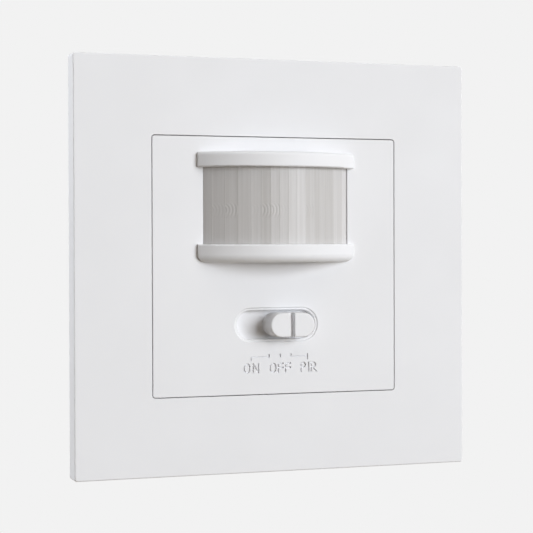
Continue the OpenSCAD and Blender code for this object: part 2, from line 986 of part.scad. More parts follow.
module control_chip() {
    pin = [chip_pin_w, chip_pin_t, chip_pin_l];
    pin_z = (chip_h + chip_pin_l) / 2;
    first_x = chip_x - (chip_pins - 1) / 2 * chip_pitch;
    color("darkslategray") {
        block([chip_x, chip_z], [chip_w, chip_t, chip_h], board_back);
        for (i = [0 : chip_pins - 1], sz = [-1, 1])
            block([first_x + i * chip_pitch, chip_z + sz * pin_z], pin, board_back);
    }
}

module switch_base() {
    front = board_y - switch_base_t;
    color("saddlebrown") {
        block([0, slot_z], [switch_l, switch_base_t, switch_h], front);
        for (i = [-1.5 : 1 : 1.5])
            rod([i * 2 * switch_step, slot_z], stud_d, front - stud_t, front);
    }
}

module switch_shell() {
    at = [0, slot_z];
    back = board_y - switch_base_t;
    size = [switch_l, back - switch_front, switch_h];
    slot = [actuator_w + 2 * switch_step + loose, 4 * shell_t, actuator_w + loose];
    color("silver")
        difference() {
            block(at, size, switch_front);
            block(at, [size.x - 2 * shell_t, size.y, size.z - 2 * shell_t], switch_front + shell_t);
            block(at, slot, switch_front - shell_t);
        }
}

module switch_slider() {
    at = [knob_rest_x, slot_z];
    color("black") {
        block(at, [carriage_l, carriage_d, switch_h - 2 * shell_t - loose], carriage_y);
        block(at, [actuator_w, carriage_y - actuator_tip, actuator_w], actuator_tip);
    }
}

module contact_bridge() {
    color("goldenrod")
        block([knob_rest_x, slot_z], [bridge_l, bridge_t, bridge_h], carriage_y + carriage_d);
}

// A trimmer on the control board, with the hole that takes its dial's spigot
module trimmer(sx) {
    at = [sx * dial_x, dial_z];
    front = board_y - trimmer_d;
    difference() {
        block(at, [trimmer_w, trimmer_d, trimmer_w], front);
        rod(at, spigot_d + 2 * turn_fit, front - cut, board_y - trimmer_floor);
    }
}

module lux_trimmer() {
    color("royalblue")
        trimmer(-1);
}

module time_trimmer() {
    color("royalblue")
        trimmer(1);
}

// A dial with a screwdriver slot, whose shaft ends in a spigot
module dial(sx) {
    at = [sx * dial_x, dial_z];
    front = deck_front - dial_proud;
    seat = board_y - trimmer_d - 2 * fit;
    slot_l = dial_d - 2 * dial_slot_end;
    difference() {
        union() {
            rod(at, dial_d, front, seat);
            rod(at, spigot_d, seat, board_y - trimmer_floor - loose);
        }
        block(at, [dial_slot_w, dial_slot_d + cut, slot_l], front - cut);
    }
}

module lux_dial() {
    color("white")
        dial(-1);
}

module time_dial() {
    color("white")
        dial(1);
}

module board_header() {
    pin_y = board_back + header_pitch;
    pin = [header_pin_w, power_y - pin_y, header_pin_w];
    first_x = -(header_pins - 1) / 2 * header_pitch;
    color("black")
        block([0, header_z], [header_pins * header_pitch, header_pitch, header_pitch], board_back);
    color("gold")
        for (i = [0 : header_pins - 1])
            block([first_x + i * header_pitch, header_z], pin, pin_y);
}

module power_board() {
    color("seagreen")
        slab(power_y, power_back)
            difference() {
                outline(board_w, board_w, board_r);
                for (p = posts)
                    translate(p)
                        circle(d = screw_d + 2 * fit);
            }
}

module relay() {
    color("steelblue")
        block([relay_x, relay_z], [relay_w, part_room - relay_gap, relay_h], power_back);
}

module film_capacitor() {
    color("gold")
        block([film_x, film_z], [film_w, part_room - film_gap, film_h], power_back);
}

module reservoir_capacitors() {
    color("darkslateblue")
        for (sx = [-1, 1])
            rod(
                [reservoir_x + sx * reservoir_pitch / 2, reservoir_z],
                reservoir_d, power_back, rear_inside - reservoir_gap
            );
}

module rectifier_diodes() {
    first_x = diode_x - (diode_count - 1) / 2 * diode_pitch;
    color("dimgray")
        for (i = [0 : diode_count - 1])
            translate([first_x + diode_pitch * i, power_back + diode_d / 2, diode_z])
                cylinder(d = diode_d, h = diode_l, center = true);
}

module dropper_resistor() {
    color("burlywood")
        translate([resistor_x, power_back + resistor_d / 2, resistor_z])
            rotate([0, 90, 0])
                cylinder(d = resistor_d, h = resistor_l, center = true);
}

module rear_housing() {
    terminal_cut = [terminal_w + 2 * fit, body_depth, terminal_h + body_wall];
    color("gainsboro")
        difference() {
            union() {
                difference() {
                    slab(split_y, body_depth)
                        outline(body_w, body_w, body_r);
                    slab(split_y - cut, rear_inside)
                        outline(inner_w, inner_w, inner_r);
                }
                for (p = posts)
                    rod(p, tube_d, power_back, rear_inside + rear_wall / 2);
            }
            block([0, terminal_z + terminal_h + fit - terminal_cut.z / 2], terminal_cut, power_back - fit);
            for (p = posts) {
                rod(p, screw_d + 2 * fit, power_back - cut, body_depth + cut);
                rod(p, rear_head_d + 4 * fit, body_depth - rear_head_t - fit, body_depth + cut);
            }
        }
}

module rear_screws() {
    head_back = body_depth - fit;
    color("silver")
        for (p = posts)
            screw(p, screw_d, rear_head_d, rear_head_t, head_back, rear_screw_tip);
}

module terminal_block() {
    middle = terminal_z + terminal_h / 2;
    pocket = [clamp_w + fit, clamp_d + fit, clamp_h + fit + 2 * clamp_inset];
    pocket_z = terminal_z + clamp_h / 2;
    color("dimgray")
        difference() {
            block([0, middle], [terminal_w, body_depth - power_back, terminal_h], power_back);
            for (i = [-1 : 1]) {
                at = [i * terminal_pitch, clamp_z + clamp_h / 2];
                block([at.x, pocket_z], pocket, clamp_y - fit / 2);
                rod(at, terminal_head_d + 4 * fit, clamp_y + clamp_d, body_depth + cut);
            }
        }
}

module terminal_clamps() {
    color("gold")
        for (i = [-1 : 1]) {
            at = [i * terminal_pitch, clamp_z + clamp_h / 2];
            difference() {
                block(at, [clamp_w, clamp_d, clamp_h], clamp_y);
                translate([at.x, wire_y, clamp_z - cut])
                    cylinder(d = wire_d, h = clamp_h + 2 * cut);
                rod(at, terminal_thread_d + fit, wire_y, clamp_y + clamp_d + cut);
            }
        }
}

module terminal_screws() {
    tip = wire_y + wire_d / 2 + fit;
    head_back = clamp_y + clamp_d + fit + terminal_head_t;
    color("silver")
        for (i = [-1 : 1])
            screw(
                [i * terminal_pitch, clamp_z + clamp_h / 2],
                terminal_thread_d, terminal_head_d, terminal_head_t, head_back, tip
            );
}

cover_frame();
support_frame();
support_rivets();
centre_plate();
fresnel_lens();
lens_retainer();
slide_knob();
chassis();
control_board();
board_screws();
pir_sensor();
pir_window();
light_sensor();
control_chip();
switch_base();
switch_shell();
switch_slider();
contact_bridge();
lux_trimmer();
time_trimmer();
lux_dial();
time_dial();
board_header();
power_board();
relay();
film_capacitor();
reservoir_capacitors();
rectifier_diodes();
dropper_resistor();
rear_housing();
rear_screws();
terminal_block();
terminal_clamps();
terminal_screws();
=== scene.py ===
"""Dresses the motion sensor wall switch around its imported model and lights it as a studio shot."""

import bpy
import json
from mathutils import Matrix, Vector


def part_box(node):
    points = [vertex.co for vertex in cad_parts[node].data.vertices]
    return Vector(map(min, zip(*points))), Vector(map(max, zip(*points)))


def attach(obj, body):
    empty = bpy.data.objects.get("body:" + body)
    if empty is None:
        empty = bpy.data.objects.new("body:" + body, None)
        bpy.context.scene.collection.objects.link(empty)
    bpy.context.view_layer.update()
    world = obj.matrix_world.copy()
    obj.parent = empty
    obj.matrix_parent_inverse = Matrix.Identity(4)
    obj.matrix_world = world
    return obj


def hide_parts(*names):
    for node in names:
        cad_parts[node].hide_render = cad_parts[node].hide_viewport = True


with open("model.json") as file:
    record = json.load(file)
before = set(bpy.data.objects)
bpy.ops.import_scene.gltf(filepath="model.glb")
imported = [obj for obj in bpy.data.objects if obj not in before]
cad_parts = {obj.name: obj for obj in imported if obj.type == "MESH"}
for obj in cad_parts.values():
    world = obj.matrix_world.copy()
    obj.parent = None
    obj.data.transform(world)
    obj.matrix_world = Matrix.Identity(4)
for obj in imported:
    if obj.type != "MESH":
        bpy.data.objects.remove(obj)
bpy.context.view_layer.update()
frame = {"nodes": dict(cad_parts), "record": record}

import bisect
import json
import logging
import math
from dataclasses import dataclass, field
from enum import Enum
from typing import Any

import bmesh
import bpy
from mathutils import Matrix, Vector

LOG = logging.getLogger("wall_switch")
MM = 0.001

# Face layers of the lens: the painted shade that darkens each facet's colour, and how far its arcs show
FACET_PAINTED_SHADE = "painted_facet_shade"
ARCS = "arcs"

# The span that most values of a noise texture lie in
NOISE_SPAN = (0.3, 0.7)

# Socket numbers of a colour mix, whose names other data types share
MIX_SHARE, MIX_A, MIX_B, MIX_RESULT = 0, 6, 7, 2

# The angle between two points of a bent stroke, in degrees
STROKE_STEP = 15.0

Point = tuple[float, float, float]
Strip = list[tuple[tuple[float, float], tuple[float, float]]]


class Body(Enum):
    """The bodies that the scene's own pieces ride on."""

    BASE = "base"
    COVER = "cover"


class Slot(Enum):
    """The record's material slots."""

    COVER = "cover_white"
    LENS = "lens_milky"
    INNER = "inner_white"
    HOUSING = "housing_grey"
    ZINC = "zinc_steel"
    BOARD = "board_green"
    FILTER = "filter_dark"
    EPOXY = "epoxy_clear"
    BLACK = "black_plastic"
    PHENOLIC = "phenolic_brown"
    BRASS = "contact_brass"
    TRIMMER = "trimmer_blue"
    RELAY = "relay_blue"
    FILM = "capacitor_yellow"
    SLEEVE = "capacitor_sleeve"
    CERAMIC = "resistor_ceramic"
    TERMINAL = "terminal_grey"


def linear(code: str) -> tuple[float, float, float, float]:
    """Turns an sRGB hex colour to linear, by the curve of the sRGB standard.

    Args:
        code: Six hex digits after a hash sign.

    Returns:
        Linear red, green and blue, and an alpha of 1.
    """
    parts = [int(code[i : i + 2], 16) / 255 for i in (1, 3, 5)]
    flat = [c / 12.92 if c <= 0.04045 else ((c + 0.055) / 1.055) ** 2.4 for c in parts]
    return flat[0], flat[1], flat[2], 1.0


def add_node(
    tree: bpy.types.NodeTree,
    kind: str,
    settings: dict[str, Any] | None = None,
    values: dict[Any, Any] | None = None,
    links: dict[Any, bpy.types.NodeSocket] | None = None,
) -> bpy.types.Node:
    """Adds one shader node with its settings and links.

    Args:
        tree: The node tree that takes the node.
        kind: The node's type name.
        settings: Properties of the node itself.
        values: Fixed values of its inputs, by name or number.
        links: Sockets that feed its inputs, by name or number.

    Returns:
        The new node.
    """
    made = tree.nodes.new(kind)
    for key, value in (settings or {}).items():
        setattr(made, key, value)
    for key, value in (values or {}).items():
        made.inputs[key].default_value = value
    for key, socket in (links or {}).items():
        tree.links.new(socket, made.inputs[key])
    return made


def clear_tree(owner: bpy.types.Material | bpy.types.World) -> bpy.types.NodeTree:
    """Gives a material or world an empty node tree.

    Args:
        owner: The material or world.

    Returns:
        Its tree.
    """
    owner.use_nodes = True
    owner.node_tree.nodes.clear()
    return owner.node_tree


def put(name: str, data: bpy.types.ID) -> bpy.types.Object:
    """Puts a mesh, lamp or camera into the scene.

    Args:
        name: The object's name.
        data: What the object shows.

    Returns:
        The object.
    """
    holder = bpy.data.objects.new(name, data)
    bpy.context.scene.collection.objects.link(holder)
    return holder


def put_mesh(name: str, shape: bmesh.types.BMesh, material: bpy.types.Material) -> bpy.types.Object:
    """Puts a finished shape, in metres, into the scene.

    Args:
        name: The object's name.
        shape: The shape, which is used up.
        material: Its material.

    Returns:
        The object.
    """
    mesh = bpy.data.meshes.new(name)
    shape.to_mesh(mesh)
    shape.free()
    mesh.materials.append(material)
    return put(name, mesh)


def pitch(size_mm: float) -> float:
    """Gives the texture scale at which one period of a pattern is size_mm long."""
    return 1.0 / (size_mm * MM)


@dataclass(frozen=True)
class Finish:
    """A moulded or plated surface: two close tones in soft clouds, and a fine grain in the bump.

    The clouds stand for flow and handling, and the grain for the texture of the mould.
    """

    name: str
    base: str
    shade: str
    roughness: float
    ior: float = 1.5
    metallic: float = 0.0
    cloud_mm: float = 14.0
    cloud_detail: float = 3.0
    cloud_roughness: float = 0.55
    grain_mm: float = 0.4
    grain_detail: float = 1.0
    grain_depth_mm: float = 0.004
    grain_strength: float = 0.6
    gloss_swing: float = 0.05

    def make(self) -> bpy.types.Material:
        """Builds the material.

        Returns:
            The finished material.
        """
        material = bpy.data.materials.new(self.name)
        tree = clear_tree(material)
        place = add_node(tree, "ShaderNodeTexCoord")
        shader = add_node(
            tree,
            "ShaderNodeBsdfPrincipled",
            values={"Metallic": self.metallic, "Roughness": self.roughness, "IOR": self.ior},
        )
        self.colour(tree, place, shader)
        self.relief(tree, place, shader)
        self.extra(shader)
        add_node(tree, "ShaderNodeOutputMaterial", links={"Surface": shader.outputs["BSDF"]})
        return material

    def cloud(self, tree: bpy.types.NodeTree, place: bpy.types.Node) -> bpy.types.NodeSocket:
        """Makes the soft clouds.

        Args:
            tree: The material's node tree.
            place: Its texture coordinates.

        Returns:
            A value from 0 to 1.
        """
        noise = add_node(
            tree,
            "ShaderNodeTexNoise",
            values={
                "Scale": pitch(self.cloud_mm),
                "Detail": self.cloud_detail,
                "Roughness": self.cloud_roughness,
            },
            links={"Vector": place.outputs["Object"]},
        )
        return noise.outputs["Fac"]

    def colour(self, tree: bpy.types.NodeTree, place: bpy.types.Node, shader: bpy.types.Node) -> None:
        """Feeds the base colour and the gloss.

        Args:
            tree: The material's node tree.
            place: Its texture coordinates.
            shader: The shader that takes them.
        """
        cloud = self.cloud(tree, place)
        tone = add_node(
            tree,
            "ShaderNodeMix",
            {"data_type": "RGBA"},
            {MIX_A: linear(self.base), MIX_B: linear(self.shade)},
            {MIX_SHARE: cloud},
        )
        tree.links.new(tone.outputs[MIX_RESULT], shader.inputs["Base Color"])
        low, high = NOISE_SPAN
        gloss = add_node(
            tree,
            "ShaderNodeMapRange",
            values={
                "From Min": low,
                "From Max": high,
                "To Min": self.roughness - self.gloss_swing,
                "To Max": self.roughness + self.gloss_swing,
            },
            links={"Value": cloud},
        )
        tree.links.new(gloss.outputs["Result"], shader.inputs["Roughness"])

    def height(self, tree: bpy.types.NodeTree, place: bpy.types.Node) -> bpy.types.NodeSocket:
        """Makes the grain of the surface.

        Args:
            tree: The material's node tree.
            place: Its texture coordinates.

        Returns:
            The height, as a share of the grain's depth.
        """
        grain = add_node(
            tree,
            "ShaderNodeTexNoise",
            values={"Scale": pitch(self.grain_mm), "Detail": self.grain_detail},
            links={"Vector": place.outputs["Object"]},
        )
        return grain.outputs["Fac"]

    def relief(self, tree: bpy.types.NodeTree, place: bpy.types.Node, shader: bpy.types.Node) -> None:
        """Feeds the surface's height to the shader.

        Args:
            tree: The material's node tree.
            place: Its texture coordinates.
            shader: The shader that takes it.
        """
        bump = add_node(
            tree,
            "ShaderNodeBump",
            values={"Strength": self.grain_strength, "Distance": self.grain_depth_mm * MM},
            links={"Height": self.height(tree, place)},
        )
        tree.links.new(bump.outputs["Normal"], shader.inputs["Normal"])

    def extra(self, shader: bpy.types.Node) -> None:
        """Sets what only some finishes have."""


@dataclass(frozen=True)
class RolledMetal(Finish):
    """Rolled sheet metal: bright, with the long faint streaks that rolling leaves."""

    metallic: float = 1.0
    grain_mm: float = 0.5
    grain_detail: float = 2.0
    grain_strength: float = 0.5
    stretch: float = 0.06

    def height(self, tree: bpy.types.NodeTree, place: bpy.types.Node) -> bpy.types.NodeSocket:
        """Makes the rolling streaks, which run along X.

        Args:
            tree: The material's node tree.
            place: Its texture coordinates.

        Returns:
            The height, as a share of the grain's depth.
        """
        drawn = add_node(
            tree,
            "ShaderNodeMapping",
            values={"Scale": (self.stretch, 1.0, 1.0)},
            links={"Vector": place.outputs["Object"]},
        )
        streak = add_node(
            tree,
            "ShaderNodeTexNoise",
            values={"Scale": pitch(self.grain_mm), "Detail": self.grain_detail},
            links={"Vector": drawn.outputs["Vector"]},
        )
        return streak.outputs["Fac"]


@dataclass(frozen=True)
class LensSheet(Finish):
    """Milky polyethylene: a grey sheet with upright streaks and a painted shade on each facet, and the arcs
    of a Fresnel lens in some facets.

    The arcs show fully up to ring_full_mm above and below their centre, and end at ring_end_mm. A ring's
    profile rises over ring_fold of its pitch and falls over as much again.
    """

    grain_depth_mm: float = 0.13
    ring_mm: float = 0.62
    ring_fold: float = 0.5
    ring_full_mm: float = 0.8
    ring_end_mm: float = 1.5
    streak_mm: float = 0.4
    band_mm: float = 3.5
    stretch: float = 0.015
    streak_share: float = 0.4
    spread_share: float = 0.25
    spread_mm: float = 0.6

    def cloud(self, tree: bpy.types.NodeTree, place: bpy.types.Node) -> bpy.types.NodeSocket:
        """Makes the upright streaks that the grooves leave, in soft bands, over each facet's painted shade,
        which stands in for how the light falls on it.

        Args:
            tree: The material's node tree.
            place: Its texture coordinates.

        Returns:
            A value from 0 to 1.
        """
        drawn = add_node(
            tree,
            "ShaderNodeMapping",
            values={"Scale": (1.0, 0.0, self.stretch)},
            links={"Vector": place.outputs["Object"]},
        )
        streaks, bands = (
            add_node(
                tree,
                "ShaderNodeTexNoise",
                values={"Scale": pitch(size), "Detail": self.grain_detail},
                links={"Vector": drawn.outputs["Vector"]},
            )
            for size in (self.streak_mm, self.band_mm)
        )
        both = add_node(
            tree,
            "ShaderNodeMath",
            {"operation": "ADD"},
            links={0: streaks.outputs["Fac"], 1: bands.outputs["Fac"]},
        )
        low, high = NOISE_SPAN
        spread = add_node(
            tree,
            "ShaderNodeMapRange",
            values={"From Min": 2 * low, "From Max": 2 * high, "To Max": self.streak_share},
            links={"Value": both.outputs[0]},
        )
        # Painted shade: each facet's darkening, read from its face layer, stands in for how the light falls
        # on the facets
        facet = add_node(tree, "ShaderNodeAttribute", {"attribute_name": FACET_PAINTED_SHADE})
        total = add_node(
            tree,
            "ShaderNodeMath",
            {"operation": "ADD"},
            links={0: spread.outputs["Result"], 1: facet.outputs["Fac"]},
        )
        return total.outputs[0]

    def height(self, tree: bpy.types.NodeTree, place: bpy.types.Node) -> bpy.types.NodeSocket:
        """Makes the arcs round each facet's own centre, where they run upright and catch the side light.

        The real grooves are about 0.3 mm apart. They are drawn wider here, so that they show.

        Args:
            tree: The material's node tree.
            place: Its texture coordinates.

        Returns:
            The height, as a share of the grain's depth.
        """
        spot = place.outputs["UV"]
        reach = add_node(tree, "ShaderNodeVectorMath", {"operation": "LENGTH"}, links={0: spot})
        turns = add_node(
            tree,
            "ShaderNodeMath",
            {"operation": "DIVIDE"},
            {1: self.ring_mm},
            {0: reach.outputs["Value"]},
        )
        wave = add_node(
            tree,
            "ShaderNodeMath",
            {"operation": "PINGPONG"},
            {1: self.ring_fold},
            {0: turns.outputs[0]},
        )
        parts = add_node(tree, "ShaderNodeSeparateXYZ", links={0: spot})
        rise = add_node(tree, "ShaderNodeMath", {"operation": "ABSOLUTE"}, links={0: parts.outputs["Y"]})
        facet = add_node(tree, "ShaderNodeAttribute", {"attribute_name": ARCS})
        fade = add_node(
            tree,
            "ShaderNodeMapRange",
            values={"From Min": self.ring_full_mm, "From Max": self.ring_end_mm, "To Max": 0.0},
            links={"Value": rise.outputs[0], "To Min": facet.outputs["Fac"]},
        )
        height = add_node(
            tree,
            "ShaderNodeMath",
            {"operation": "MULTIPLY"},
            links={0: wave.outputs[0], 1: fade.outputs["Result"]},
        )
        return height.outputs[0]

    def extra(self, shader: bpy.types.Node) -> None:
        """Lets light spread a little inside the sheet."""
        shader.inputs["Subsurface Weight"].default_value = self.spread_share
        shader.inputs["Subsurface Radius"].default_value = (1.0, 1.0, 1.0)
        shader.inputs["Subsurface Scale"].default_value = self.spread_mm * MM


@dataclass(frozen=True)
class BoardLaminate(Finish):
    """Glass laminate under green solder mask: copper runs show through as paler lines.

    The lines' width, the length between their bends and their spacing are shares of the board's pitch.
    """

    run_mm: float = 2.54
    run_width: float = 0.03
    run_length: float = 2.5
    run_spacing: float = 0.5
    copper: str = "#2E8A58"

    def colour(self, tree: bpy.types.NodeTree, place: bpy.types.Node, shader: bpy.types.Node) -> None:
        """Feeds the mask and the copper runs under it.

        Args:
            tree: The material's node tree.
            place: Its texture coordinates.
            shader: The shader that takes them.
        """
        turned = add_node(
            tree,
            "ShaderNodeMapping",
            values={"Rotation": (math.pi / 2, 0.0, 0.0)},
            links={"Vector": place.outputs["Object"]},
        )
        runs = add_node(
            tree,
            "ShaderNodeTexBrick",
            values={
                "Color1": linear(self.base),
                "Color2": linear(self.shade),
                "Mortar": linear(self.copper),
                "Scale": pitch(self.run_mm),
                "Mortar Size": self.run_width,
                "Brick Width": self.run_length,
                "Row Height": self.run_spacing,
            },
            links={"Vector": turned.outputs["Vector"]},
        )
        tree.links.new(runs.outputs["Color"], shader.inputs["Base Color"])


@dataclass(frozen=True)
class ClearEpoxy(Finish):
    """Cast epoxy: clear and glossy, a little yellow."""

    clearness: float = 0.7

    def extra(self, shader: bpy.types.Node) -> None:
        """Lets light through."""
        shader.inputs["Transmission Weight"].default_value = self.clearness


# Satin white ABS from a finely eroded mould: bright, with a soft wide gloss
COVER_ABS = Finish("moulded_white_abs", "#EDEDEF", "#EBEBED", 0.6, 1.46, grain_depth_mm=0.0015)
# Milky polyethylene sheet: grey and soft, with fine upright streaks
LENS_POLYETHYLENE = LensSheet("milky_polyethylene", "#D9D7D7", "#B8B5B2", 0.5, 1.5)
# Natural nylon: a warmer white, a little duller than the cover
INNER_NYLON = Finish("moulded_white_nylon", "#E6E5DF", "#DFDED7", 0.5, 1.53)
# Pale grey polycarbonate with a fine matt texture
HOUSING_POLYCARBONATE = Finish(
    "textured_grey_polycarbonate", "#C9CBCC", "#C2C4C6", 0.55, 1.58, grain_depth_mm=0.01
)
# Zinc plated steel sheet: a cool bright metal, a little cloudy, with rolling streaks
ZINC_STEEL = RolledMetal("zinc_plated_steel", "#C6C9CB", "#B3B7BA", 0.42, cloud_mm=6.0)
# Solder mask on glass laminate: deep green and half glossy, with paler copper runs
BOARD_LAMINATE = BoardLaminate("solder_mask_on_laminate", "#1B6B40", "#196239", 0.38, 1.5)
# Coated silicon window: nearly black with a mirror gloss
FILTER_SILICON = Finish("coated_silicon_window", "#23222B", "#2C2A36", 0.12, 1.9)
# Clear cast epoxy: see-through and shiny, faintly yellow
EPOXY = ClearEpoxy("clear_cast_epoxy", "#F2EED6", "#EDE8CC", 0.08, 1.55)
# Black moulded epoxy with a dull even grain
BLACK_EPOXY = Finish("black_moulded_epoxy", "#26262A", "#2D2D31", 0.55, grain_depth_mm=0.01)
# Brown paper laminate, with the flecks of its paper
PAPER_LAMINATE = Finish("brown_paper_laminate", "#7A4F2B", "#66401F", 0.6, cloud_mm=1.5)
# Stamped brass: yellow metal, lightly tarnished in patches
BRASS = RolledMetal("stamped_brass", "#D9B566", "#C69F4E", 0.3, cloud_mm=3.0)
# Blue moulded nylon of the trimmers: an even satin blue
TRIMMER_NYLON = Finish("blue_moulded_nylon", "#2F5CB0", "#2853A3", 0.45)
# Blue polyester of the relay's case: smooth and glossy
RELAY_CASE = Finish("blue_polyester_case", "#2F68AE", "#2B60A3", 0.25)
# Potted box of the film capacitor: smooth yellow with a soft gloss
FILM_BOX = Finish("yellow_potted_box", "#E3B93A", "#D9AE30", 0.3)
# Dark blue shrink sleeve: glossy with slight waves
SHRINK_SLEEVE = Finish("blue_shrink_sleeve", "#24264F", "#2B2E5C", 0.2, grain_mm=2.5, grain_depth_mm=0.05)
# Lacquered ceramic tube: dull tan
LACQUERED_CERAMIC = Finish("lacquered_ceramic", "#C7AD86", "#BBA07A", 0.5, 1.6)
# Dark grey nylon of the terminal block: dull, with a fine grain
TERMINAL_NYLON = Finish("dark_grey_nylon", "#4A4B4E", "#434447", 0.55, grain_depth_mm=0.01)

FINISHES: dict[Slot, Finish] = {
    Slot.COVER: COVER_ABS,
    Slot.LENS: LENS_POLYETHYLENE,
    Slot.INNER: INNER_NYLON,
    Slot.HOUSING: HOUSING_POLYCARBONATE,
    Slot.ZINC: ZINC_STEEL,
    Slot.BOARD: BOARD_LAMINATE,
    Slot.FILTER: FILTER_SILICON,
    Slot.EPOXY: EPOXY,
    Slot.BLACK: BLACK_EPOXY,
    Slot.PHENOLIC: PAPER_LAMINATE,
    Slot.BRASS: BRASS,
    Slot.TRIMMER: TRIMMER_NYLON,
    Slot.RELAY: RELAY_CASE,
    Slot.FILM: FILM_BOX,
    Slot.SLEEVE: SHRINK_SLEEVE,
    Slot.CERAMIC: LACQUERED_CERAMIC,
    Slot.TERMINAL: TERMINAL_NYLON,
}


@dataclass
class Finishes:
    """Makes each finish once and puts it on nodes and pieces."""

    made: dict[Slot, bpy.types.Material] = field(default_factory=dict)

    def get(self, slot: Slot) -> bpy.types.Material:
        """Gives the material of a slot, made at its first use."""
        if slot not in self.made:
            self.made[slot] = FINISHES[slot].make()
        return self.made[slot]

    def dress_nodes(self) -> None:
        """Puts the finish of its slot on every CAD node."""
        for subpart in frame["record"]["subparts"]:
            slot = Slot(subpart["material_slot"])
            for place in frame["nodes"][subpart["node"]].material_slots:
                place.material = self.get(slot)
            LOG.info("dressed %s with %s", subpart["node"], FINISHES[slot].name)


def make_piece(
    name: str, shape: bmesh.types.BMesh, body: Body, slot: Slot, finishes: Finishes
) -> bpy.types.Object:
    """Turns a finished shape, in metres, into a piece that rides on a body.

    Args:
        name: The piece's name.
        shape: The shape, which is used up.
        body: The body that it rides on.
        slot: The slot that it takes its finish from.
        finishes: Where the finish comes from.

    Returns:
        The piece.
    """
    piece = put_mesh(name, shape, finishes.get(slot))
    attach(piece, body.value)
    LOG.info("made %s on %s, %d faces", name, body.value, len(piece.data.polygons))
    return piece


@dataclass
class MotionLens:
    """The bent lens sheet: flat upright facets with a fine ridge at each joint, and two side ears.

    Sizes are in millimetres. The joints lie alike on both sides of the middle, and the facets' painted
    shade and arcs have one value for each facet, from left to right. The painted shade darkens each facet's
    colour for how the light falls on it.
    """

    radius: float = 25.0
    thickness: float = 0.8
    ridge_rise: float = 0.015
    ridge_half: float = 0.14
    foot_x: float = 16.5
    ear_x: float = 19.8
    ear_in: float = 16.2
    ear_h: float = 11.6
    joints: tuple[float, ...] = (0.9, 2.65, 4.4, 6.5, 9.0, 11.5, 14.1)
    # Painted shade: how far each facet's colour is darkened, for how the light falls on it
    painted_shade_per_facet: tuple[float, ...] = (
        0.0, 0.3, 0.4, 0.4, 0.5, 0.7, 0.45, 0.45, 0.35, 0.25, 0.4, 0.6, 0.55, 0.3, 0.0,
    )  # fmt: skip
    arcs: tuple[float, ...] = (
        0.0, 0.5, 1.0, 0.0, 0.2, 1.0, 1.0, 0.2, 0.0, 0.0, 0.9, 0.0, 0.0, 0.0, 0.0,
    )  # fmt: skip
    arc_drop: float = 0.9
    arc_shift: float = 1.8

    def build(self, finishes: Finishes) -> bpy.types.Object:
        """Builds the lens.

        Args:
            finishes: Where its finish comes from.

        Returns:
            The lens.
        """
        low, high = (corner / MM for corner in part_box("fresnel_lens"))
        axis_y = low.y + self.radius
        shape = bmesh.new()
        self.sheet(shape, axis_y, low.z, high.z)
        self.ears(shape, high.y, (low.z + high.z) / 2)
        bmesh.ops.scale(shape, vec=(MM, MM, MM), verts=shape.verts)
        piece = make_piece("lens_sheet", shape, Body.COVER, Slot.LENS, finishes)
        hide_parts("fresnel_lens")
        return piece

    def sheet(self, shape: bmesh.types.BMesh, axis_y: float, z0: float, z1: float) -> None:
        """Draws the facets as a bent line, raises it and gives it its thickness.

        Args:
            shape: The shape that takes the sheet.
            axis_y: Depth of the upright axis that the sheet is bent round.
            z0: Its lower edge.
            z1: Its upper edge.
        """
        end = self.radius * math.asin(self.foot_x / self.radius)
        stops = sorted([-j for j in self.joints] + list(self.joints))
        line: list[tuple[float, float]] = [(-end, 0.0)]
        for stop in stops:
            line += [(stop - self.ridge_half, 0.0), (stop, self.ridge_rise), (stop + self.ridge_half, 0.0)]
        line.append((end, 0.0))
        verts = []
        for arc, rise in line:
            turn = arc / self.radius
            reach = self.radius - self.ridge_rise + rise
            verts.append(shape.verts.new((reach * math.sin(turn), axis_y - reach * math.cos(turn), z0)))
        edges = [shape.edges.new(pair) for pair in zip(verts, verts[1:])]
        raised = bmesh.ops.extrude_edge_only(shape, edges=edges)["geom"]
        top = [v for v in raised if isinstance(v, bmesh.types.BMVert)]
        bmesh.ops.translate(shape, vec=(0, 0, z1 - z0), verts=top)
        for face in shape.faces:
            face.normal_update()
            if face.normal.y > 0:
                face.normal_flip()
        bmesh.ops.solidify(shape, geom=list(shape.faces), thickness=self.thickness)
        self.chart(shape, axis_y, (z0 + z1) / 2, stops, end)

    def chart(
        self, shape: bmesh.types.BMesh, axis_y: float, middle_z: float, stops: list[float], end: float
    ) -> None:
        """Writes each facet's painted shade and arcs, and its coordinates in millimetres from the arcs'
        centre.

        Args:
            shape: The sheet.
            axis_y: Depth of the axis that the sheet is bent round.
            middle_z: Height of its middle.
            stops: The joints between the facets, along the arc.
            end: Half the length of the arc.
        """
        layer = shape.loops.layers.uv.new("facet")
        painted_shade_layer = shape.faces.layers.float.new(FACET_PAINTED_SHADE)
        cut = shape.faces.layers.float.new(ARCS)
        bounds = [-end] + stops + [end]
        for face in shape.faces:
            centre = face.calc_center_median()
            arc = self.radius * math.atan2(centre.x, axis_y - centre.y)
            at = min(max(bisect.bisect(bounds, arc), 1), len(bounds) - 1)
            middle = (bounds[at - 1] + bounds[at]) / 2
            # The facet's painted shade
            face[painted_shade_layer] = self.painted_shade_per_facet[at - 1]
            face[cut] = self.arcs[at - 1]
            for loop in face.loops:
                spot = loop.vert.co
                here = self.radius * math.atan2(spot.x, axis_y - spot.y)
                loop[layer].uv = (here - middle + self.arc_shift, spot.z - middle_z + self.arc_drop)

    def ears(self, shape: bmesh.types.BMesh, back_y: float, middle_z: float) -> None:
        """Adds the side ears that the retainer presses on.

        Args:
            shape: The shape that takes them.
            back_y: Depth of their back.
            middle_z: Height of their middle.
        """
        for side in (-1, 1):
            ear = bmesh.ops.create_cube(shape, size=1.0)["verts"]
            bmesh.ops.scale(shape, vec=(self.ear_x - self.ear_in, self.thickness, self.ear_h), verts=ear)
            middle = (side * (self.ear_x + self.ear_in) / 2, back_y - self.thickness / 2, middle_z)
            bmesh.ops.translate(shape, vec=middle, verts=ear)


